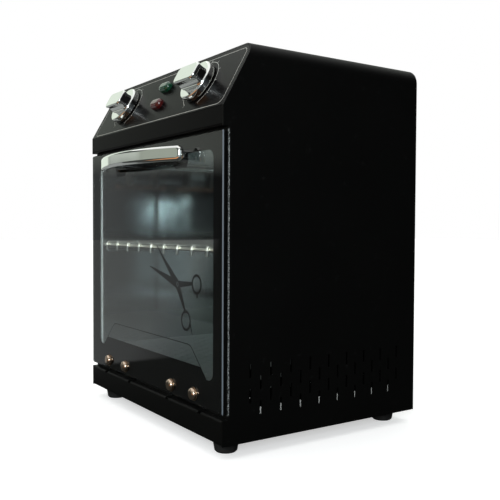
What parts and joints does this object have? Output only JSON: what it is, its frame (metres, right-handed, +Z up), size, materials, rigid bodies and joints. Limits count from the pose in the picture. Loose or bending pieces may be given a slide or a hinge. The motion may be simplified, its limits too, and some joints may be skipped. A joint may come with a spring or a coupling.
{
  "type": "dry heat sterilizer",
  "caption": "Bench-top dry heat sterilizer: black sheet-metal cabinet with a fold-down glass door, wire shelf, slotted floor tray, timer and thermostat knobs on a sloping panel.",
  "frame": {"origin": "middle of the box's footprint, on the surface the feet stand on", "axes": "+Z up, -Y towards the front with the door and knobs, +X to the right seen from the front"},
  "size_m": [0.254, 0.2354, 0.3145],
  "materials": {
    "black_powder_coat": "fine textured black powder coat",
    "black_panel": "glossy black enamel with thin white lines",
    "zinc_sheet": "zinc plated sheet, bare",
    "chamber_steel": "bright stainless sheet",
    "polished_steel": "polished stainless wire and rod",
    "chrome": "mirror chrome plating",
    "heater_steel": "dull heated steel",
    "glass": "toughened glass, black printed border",
    "black_rubber": "moulded matt rubber",
    "black_plastic": "moulded matt plastic",
    "pale_plastic": "cream moulded plastic",
    "ceramic": "fired steatite",
    "silicone": "soft heat-proof silicone",
    "wool": "pressed mineral wool",
    "green_lens": "clear green moulded lens",
    "red_lens": "clear red moulded lens",
    "copper": "drawn copper tube",
    "brass": "turned brass",
    "fibre": "pressed fibre"
  },
  "bodies": {
    "cabinet": {"outer_casing": "black_powder_coat", "base_pan": "black_powder_coat", "control_panel": "black_panel", "rear_panel": "black_powder_coat", "face_frame": "black_powder_coat", "chamber_liner": "chamber_steel", "chamber_back": "chamber_steel", "floor_grille": "chamber_steel", "insulation_wrap": "wool", "insulation_back": "wool", "heating_element": "heater_steel", "heater_saddles": "zinc_sheet", "heater_bushes": "ceramic", "heater_terminals": "zinc_sheet", "timer_body": "pale_plastic", "thermostat_body": "zinc_sheet", "control_nuts": "zinc_sheet", "green_lamp": "green_lens", "red_lamp": "red_lens", "lamp_bodies": "black_plastic", "sensing_bulb": "copper", "bulb_clips": "zinc_sheet", "thermal_cutout": "black_plastic", "terminal_block": "ceramic", "cord_grommet": "black_rubber", "earth_screw": "brass", "foot_front_left": "black_rubber", "foot_front_right": "black_rubber", "foot_rear_left": "black_rubber", "foot_rear_right": "black_rubber", "foot_screws": "zinc_sheet", "foot_nuts": "zinc_sheet", "base_screws": "zinc_sheet", "rear_screws": "zinc_sheet", "hinge_mount_left": "zinc_sheet", "hinge_mount_right": "zinc_sheet", "hinge_pin_left": "polished_steel", "hinge_pin_right": "polished_steel"},
    "door": {"door_glass": "glass", "door_screws": "chrome", "door_washers": "silicone", "door_nuts": "zinc_sheet", "handle_bar": "chrome", "handle_post_left": "chrome", "handle_post_right": "chrome", "handle_screws": "chrome", "hinge_pad_left": "fibre", "hinge_pad_right": "fibre", "hinge_bracket_left": "zinc_sheet", "hinge_bracket_right": "zinc_sheet"},
    "timer_control": {"timer_knob": "chrome", "timer_shaft": "brass"},
    "thermostat_control": {"thermostat_knob": "chrome", "thermostat_shaft": "brass"},
    "shelf": {"wire_shelf": "polished_steel"}
  },
  "joints": [
    {"name": "door_hinge", "type": "hinge", "parent": "cabinet", "child": "door", "pos_m": [0, -0.08225, 0.0255], "axis": [1, 0, 0], "range_deg": [0, 90], "stiffness_Nm_per_rad": 0.1, "springref_deg": -57.3},
    {"name": "timer_turn", "type": "hinge", "parent": "cabinet", "child": "timer_control", "pos_m": [-0.07, -0.07518, 0.28873], "axis": [0, 0.8725, -0.4886], "range_deg": [0, 300]},
    {"name": "thermostat_turn", "type": "hinge", "parent": "cabinet", "child": "thermostat_control", "pos_m": [0.07, -0.07518, 0.28873], "axis": [0, 0.8725, -0.4886], "range_deg": [0, 270]},
    {"name": "shelf_slide", "type": "slide", "parent": "cabinet", "child": "shelf", "axis": [0, -1, 0], "range_m": [0, 0.11]}
  ],
  "couplings": [
    {"joint": "shelf_slide", "follows": "door_hinge", "m_per_rad": 0.07}
  ]
}
